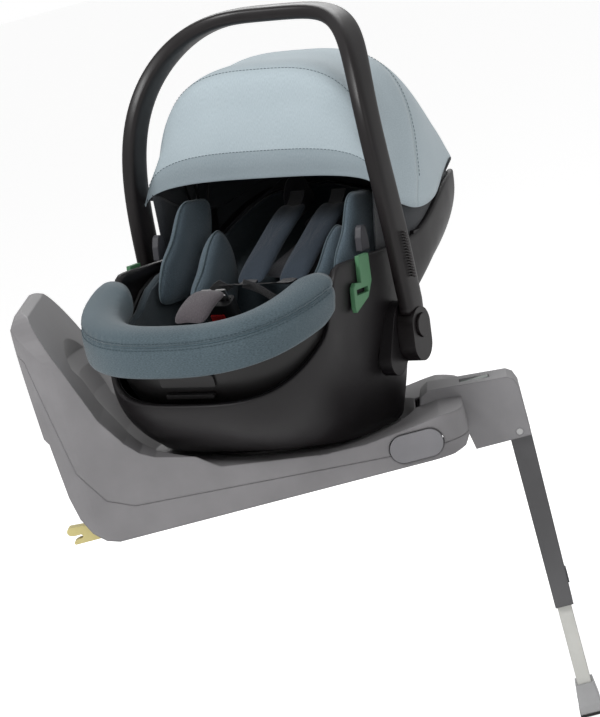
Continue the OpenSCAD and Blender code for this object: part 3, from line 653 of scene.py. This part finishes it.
def pillow(name, centre, u_dir, v_dir, outline, thick, material, body="carrier", bow=0.0, piping=1.6):
    u_dir, v_dir = unit(np.array(u_dir, float)), unit(np.array(v_dir, float))
    normal = unit(np.cross(u_dir, v_dir))
    edge = smooth_outline(outline)
    middle = edge.mean(0)
    rows = []
    for side in (1, -1):
        radii = np.concatenate([np.linspace(0.02, 0.9, 15), [0.94, 0.97, 0.99, 1.0]])
        for r in (radii if side == 1 else radii[::-1]):
            flat = middle + (edge - middle) * r
            height = side * thick / 2 * (1 - r ** 3.2) ** 0.55
            sag = bow * (1 - ((flat - middle) ** 2).sum(1) / ((edge - middle) ** 2).sum(1).max())
            rows.append(np.asarray(centre) + np.outer(flat[:, 0], u_dir) + np.outer(flat[:, 1], v_dir)
                        + np.outer(height + sag, normal))
    made = wear(surface(name, rows, around=True, caps=True), material, body)
    rim = np.asarray(centre) + np.outer(edge[:, 0], u_dir) + np.outer(edge[:, 1], v_dir)
    return made, rim


def piping(name, line, radius, material, slot, body="carrier", closed=True):
    ring8 = np.linspace(0, 2 * math.pi, 9)[:-1]
    rows = []
    for i in range(len(line)):
        ahead = line[(i + 1) % len(line)] if closed else line[min(i + 1, len(line) - 1)]
        along = unit(ahead - (line[i - 1] if closed or i else line[0]))
        side = unit(np.cross(along, [0.31, 0.17, 0.93]))
        up = np.cross(side, along)
        rows.append(line[i] + radius * (np.outer(np.cos(ring8), side) + np.outer(np.sin(ring8), up)))
    return wear(surface(name, rows, around=True, loop=closed, caps=not closed), material, body)


print("pillow builder ready")

# %% [markdown]
# The newborn insert has two low wings beside the hips. Each is a pillow in the plane of the seat's side,
# with a piping round its edge in the bolster's cloth.

# %% Wing pads of the newborn insert
for side, label in ((1, "right"), (-1, "left")):
    outline = [(-78, -42), (-30, -46), (34, -40), (58, 6), (50, 52), (22, 78), (-10, 66), (-44, 30),
               (-80, -2)]
    wing, rim = pillow(f"wing_pad_cover_{label}", [side * 101, -8, 72],
                       [side * 0.04, 1, 0], [side * 0.03, 0, 1],
                       outline, 30, pad_cloth, bow=side * 4)
    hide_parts(f"wing_pad_{label}")
    piping(f"wing_piping_{label}", rim, 1.6, bolster_cloth, "pad_cloth")
print("wing pads done")

# %% [markdown]
# Behind the wings stand two taller side pads with rounded tops. They are pillows as well, a little thinner.

# %% Tall side pads
for side, label in ((1, "right"), (-1, "left")):
    outline = [(-88, -60), (-20, -66), (40, -60), (62, 0), (66, 62), (20, 74), (-14, 70), (-44, 26),
               (-80, -12)]
    tall, rim = pillow(f"side_pad_cover_{label}", [side * 147, -6, 124], [0, 1, 0], [-side * 0.06, 0, 1],
                       outline, 22, pad_cloth, bow=side * 3)
    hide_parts(f"side_pad_{label}")
    piping(f"side_piping_{label}", rim, 1.5, bolster_cloth, "pad_cloth")
print("side pads done")

# %% [markdown]
# The backrest is a broad flat pillow and the headrest a short one above it, with a small wing each side.
# The headrest slides, so its pieces ride with its own body.

# %% Backrest and headrest
# The backrest, headrest and headrest wings wear the near-black cloth, which paints the shade in the middle of
# the seat.
back, _ = pillow("backrest_cover", [0, 206, 91], [1, 0, 0], [0, 0.9666, 0.257],
                   [(-84, -102), (0, -108), (84, -102), (89, 0), (84, 102), (0, 108), (-84, 102), (-89, 0)], 23,
                   back_cloth)
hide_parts("backrest_pad")
head, _ = pillow("headrest_cover", [0, 258, 129], [1, 0, 0], [0, 0.9666, 0.257],
                   [(-74, -34), (0, -38), (74, -34), (78, 4), (70, 36), (0, 42), (-70, 36), (-78, 4)], 20,
                   back_cloth, "head_support")
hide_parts("headrest")
for side, label in ((1, "right"), (-1, "left")):
    ear, _ = pillow(f"headrest_wing_{label}", [side * 95, 248, 158],
                    [0, 0.9666, 0.257], [side * 0.1, -0.257, 0.9666],
                      [(-38, -22), (0, -26), (38, -22), (42, 6), (26, 34), (-10, 38), (-36, 14)], 18,
                      back_cloth, "head_support", bow=side * 3)
print("back and head done")

# %% [markdown]
# ## Harness
# Two shoulder pads sit on the webbing, which runs from the backrest over the chest to the buckle. The
# webbing is a flat strap 25 mm wide. The crotch pad lies in front of the buckle.

# %% Harness pads and webbing
def strap(name, line, width_dir, width=25, thick=1.4):
    rows = []
    line = np.asarray(line, float)
    fine = np.array([through(line, t) for t in np.linspace(0, len(line) - 1, 28)])
    for i, p in enumerate(fine):
        along = unit(fine[min(i + 1, len(fine) - 1)] - fine[max(i - 1, 0)])
        wide = unit(np.array(width_dir, float) - along * (np.array(width_dir, float) @ along))
        rows.append(band_row(p, wide, np.cross(along, wide), width, thick, 0.4))
    return wear(surface(name, rows, around=True, caps=True), webbing)


for side, label in ((1, "right"), (-1, "left")):
    pad, _ = pillow(f"shoulder_pad_{label}", [side * 36, 52, 122], [1, 0, 0], [0, 0.871, 0.491],
                      [(-22, -84), (0, -88), (22, -84), (23, 0), (22, 84), (0, 88), (-22, 84), (-23, 0)], 15,
                      strap_cloth, bow=3)
    strap(f"shoulder_webbing_{label}", [[side * 36, 148, 186], [side * 36, 128, 165], [side * 36, 50, 121],
                                       [side * 34, -26, 80], [side * 24, -80, 84], [side * 13, -128, 92]],
          [1, 0, 0])
    strap(f"lap_webbing_{label}", [[side * 84, -60, 26], [side * 60, -96, 56], [side * 36, -118, 82],
                                   [side * 14, -128, 94]], [0, 0.7, -0.7])
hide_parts("shoulder_pads")
crotch, _ = pillow("crotch_cover", [0, -228, 78], [1, 0, 0], [0, 0.9, 0.36],
                     [(-24, -36), (0, -40), (24, -36), (27, 0), (23, 34), (0, 38), (-23, 34), (-27, 0)], 17,
                     crotch_cloth, bow=8)
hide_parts("crotch_pad")
print("harness done")

# %% [markdown]
# ## Stitches and ribs by Geometry Nodes
# A row of stitches is one tiny rounded bar repeated along a line, and the grip strip on the handle is
# one rib repeated. A small node tree takes a line, places the bar every few millimetres and turns it
# along the line. The tree ends in real geometry, because instances don't leave the program.

# %% Stitch tree
def stitch_tree(name, material):
    tree = bpy.data.node_groups.new(name, "GeometryNodeTree")
    face = tree.interface
    face.new_socket("Geometry", in_out="INPUT", socket_type="NodeSocketGeometry")
    for label, value in (("Pitch", 0.006), ("Length", 0.0036), ("Width", 0.0009), ("Height", 0.0009)):
        s = face.new_socket(label, in_out="INPUT", socket_type="NodeSocketFloat")
        s.default_value = value
    face.new_socket("Geometry", in_out="OUTPUT", socket_type="NodeSocketGeometry")
    nodes, links = tree.nodes, tree.links
    given, result = nodes.new("NodeGroupInput"), nodes.new("NodeGroupOutput")
    line = nodes.new("GeometryNodeMeshToCurve")
    spaced = nodes.new("GeometryNodeCurveToPoints")
    spaced.mode = "LENGTH"
    size = nodes.new("ShaderNodeCombineXYZ")
    bar = nodes.new("GeometryNodeMeshCube")
    copies = nodes.new("GeometryNodeInstanceOnPoints")
    real = nodes.new("GeometryNodeRealizeInstances")
    paint = nodes.new("GeometryNodeSetMaterial")
    paint.inputs["Material"].default_value = material
    links.new(given.outputs["Geometry"], line.inputs["Mesh"])
    links.new(line.outputs["Curve"], spaced.inputs["Curve"])
    links.new(given.outputs["Pitch"], spaced.inputs["Length"])
    links.new(given.outputs["Width"], size.inputs["X"])
    links.new(given.outputs["Height"], size.inputs["Y"])
    links.new(given.outputs["Length"], size.inputs["Z"])
    links.new(size.outputs["Vector"], bar.inputs["Size"])
    links.new(spaced.outputs["Points"], copies.inputs["Points"])
    links.new(spaced.outputs["Rotation"], copies.inputs["Rotation"])
    links.new(bar.outputs["Mesh"], copies.inputs["Instance"])
    links.new(copies.outputs["Instances"], real.inputs["Geometry"])
    links.new(real.outputs["Geometry"], paint.inputs["Geometry"])
    links.new(paint.outputs["Geometry"], result.inputs["Geometry"])
    return tree


def along_line(name, line, tree, sizes=None):
    points = seat(np.asarray(line, float))
    mesh = bpy.data.meshes.new(name)
    mesh.from_pydata([tuple(p) for p in points], [(i, i + 1) for i in range(len(points) - 1)], [])
    made = bpy.data.objects.new(name, mesh)
    bpy.context.scene.collection.objects.link(made)
    modifier = made.modifiers.new("row", "NODES")
    modifier.node_group = tree
    keys = {i.name: i.identifier for i in tree.interface.items_tree if i.in_out == "INPUT"}
    for label, value in (sizes or {}).items():
        modifier[keys[label]] = value
    apply_all(made)
    return made


thread_row = stitch_tree("thread_row", thread_dark)
rib_row = stitch_tree("rib_row", strip_plastic)

# %% [markdown]
# The bolster's seam has a row of stitches on either side and a piping between. Both follow points of the
# same section, so they lie on the cloth.

# %% Bolster stitches, either side of the piped seam
def section_line(index, lift):
    line = []
    for b in np.radians(np.linspace(350, 190, 160)):
        loop = fine_loop(bolster_section(b), 76)
        middle = loop.mean(0)
        line.append(loop[index] + unit(loop[index] - middle) * lift)
    return np.array(line)


for index, label in ((12, "low"), (21, "high")):
    row = along_line(f"bolster_stitches_{label}", section_line(index, 0.2), thread_row)
    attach(row, "carrier")
piping("bolster_piping", section_line(16, 0.2), 1.3, seam_cloth, "bolster_cloth", closed=False)

# %% [markdown]
# The lower part of each handle leg has a strip of fine ribs for the thumb. One rib is repeated up the
# leg's outer face by the same tree, with other sizes.

# %% Handle grip ribs
for side, label in ((1, "right"), (-1, "left")):
    heights = np.linspace(75, 141, 24)
    angles = [math.asin((h / (handle_h - band_t / 2)) ** (1 / 0.62)) for h in heights]
    outer_face = np.array([side * (band_t / 2 - 0.4), 0, 0])
    line = [handle_line(a if side > 0 else math.pi - a) + outer_face for a in angles]
    ribs = along_line(f"grip_ribs_{label}", line, rib_row,
                      {"Pitch": 0.0042, "Length": 0.002, "Width": 0.0022, "Height": 0.024})
    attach(ribs, "handle")
print("ribs and stitches done")

# %% [markdown]
# Stitch rows mark the hem and the seams over the bows.

# %% Canopy stitches beside the hem and the middle bow
def canopy_line(t, lift):
    row = canopy_row(t)
    centre = np.array([0, 120, 150])
    return np.array([p + unit(p - centre) * lift for p in row])


for t, label in ((2.0, "hem"), (4.06, "middle")):
    seam = along_line(f"canopy_stitches_{label}", canopy_line(t, 0.2)[4:-4], thread_row,
                      {"Width": 0.0007, "Height": 0.0007})
    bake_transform(seam)
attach(along_line("canopy_stitches_rear", canopy_line(6.08, 0.2)[4:-4], thread_row,
                   {"Width": 0.0007, "Height": 0.0007}), "carrier")

# %% [markdown]
# ## Floor, light and camera
# A pale floor and big soft lights show the shape without hard shadows. The camera stands low at the
# side of the base and is rolled a little, because the base stands tilted on a car seat.

# %% Floor
floor_material = bpy.data.materials.new("floor_pale")
floor_material.use_nodes = True
floor_shader = floor_material.node_tree.nodes["Principled BSDF"]
floor_shader.inputs["Base Color"].default_value = (0.93, 0.93, 0.93, 1)
floor_shader.inputs["Roughness"].default_value = 0.9
floor_shader.inputs["Emission Color"].default_value = (1, 1, 1, 1)
floor_path = floor_material.node_tree.nodes.new("ShaderNodeLightPath")
floor_lift = floor_material.node_tree.nodes.new("ShaderNodeMath")
floor_lift.operation = "MULTIPLY"
floor_lift.inputs[1].default_value = 0.45
floor_material.node_tree.links.new(floor_path.outputs["Is Camera Ray"], floor_lift.inputs[0])
floor_material.node_tree.links.new(floor_lift.outputs["Value"], floor_shader.inputs["Emission Strength"])
floor_mesh = bpy.data.meshes.new("floor")
floor_z, floor_half = -0.4665, 30
corners = [(x * floor_half, y * floor_half, floor_z) for x, y in ((-1, -1), (1, -1), (1, 1), (-1, 1))]
floor_mesh.from_pydata(corners, [], [(0, 1, 2, 3)])
floor = bpy.data.objects.new("floor", floor_mesh)
bpy.context.scene.collection.objects.link(floor)
floor.data.materials.append(floor_material)

# %% [markdown]
# The camera looks from low beside the base. Its roll comes from the tilt of a vehicle seat.

# %% Camera
seat_lean, eye_distance = math.radians(-15.2), 4.9
to_model = Matrix.Rotation(seat_lean, 3, "X")
azimuth, rise = math.radians(91.5), math.radians(10)
back_dir = Vector((math.sin(azimuth) * math.cos(rise), -math.cos(azimuth) * math.cos(rise), math.sin(rise)))
right_dir = Vector((math.cos(azimuth), math.sin(azimuth), 0))
up_dir = back_dir.cross(right_dir)
target = right_dir * -0.0319 + up_dir * 0.1595
eye = to_model @ (target + back_dir * eye_distance) + Vector((0, 0.05, 0))
camera_data = bpy.data.cameras.new("camera")
camera_data.sensor_fit = "HORIZONTAL"
camera_data.sensor_width = 36
camera_data.lens = 197.8
camera = bpy.data.objects.new("camera", camera_data)
bpy.context.scene.collection.objects.link(camera)
axes = Matrix((to_model @ right_dir, to_model @ up_dir, to_model @ back_dir)).transposed()
camera.matrix_world = Matrix.Translation(eye) @ axes.to_4x4()
camera_data.clip_end = 200
bpy.context.scene.camera = camera
print("camera at", tuple(round(c, 3) for c in eye))

# %% [markdown]
# One large soft lamp from above gives the shape, a weak one fills, and one from behind draws the edge.
# The even sky lights the rest, and looks white to the camera.

# %% Lights
def soft_light(name, place, aim, size, power):
    data = bpy.data.lights.new(name, "AREA")
    data.shape = "DISK"
    data.size = size
    data.energy = power
    lamp = bpy.data.objects.new(name, data)
    bpy.context.scene.collection.objects.link(lamp)
    lamp.location = place
    lamp.rotation_euler = (Vector(aim) - Vector(place)).to_track_quat("-Z", "Y").to_euler()


soft_light("key", (2.3, -2.1, 3.3), (0, 0, 0.2), 1.3, 105)
soft_light("fill", (2.6, 2.2, 1.2), (0, 0, 0.15), 2.4, 8)
soft_light("rim", (-2.4, 0.4, 2.4), (0, 0, 0.3), 2.0, 40)
world = bpy.data.worlds.new("studio")
world.use_nodes = True
sky = world.node_tree.nodes
sky["Background"].inputs["Strength"].default_value = 0.55
sky["Background"].inputs["Color"].default_value = (1, 1, 1, 1)
backdrop = sky.new("ShaderNodeBackground")
backdrop.inputs["Color"].default_value = (1, 1, 1, 1)
path, either = sky.new("ShaderNodeLightPath"), sky.new("ShaderNodeMixShader")
world.node_tree.links.new(path.outputs["Is Camera Ray"], either.inputs["Fac"])
world.node_tree.links.new(sky["Background"].outputs["Background"], either.inputs[1])
world.node_tree.links.new(backdrop.outputs["Background"], either.inputs[2])
world.node_tree.links.new(either.outputs["Shader"], sky["World Output"].inputs["Surface"])
bpy.context.scene.world = world
bpy.context.scene.view_settings.view_transform = "Standard"
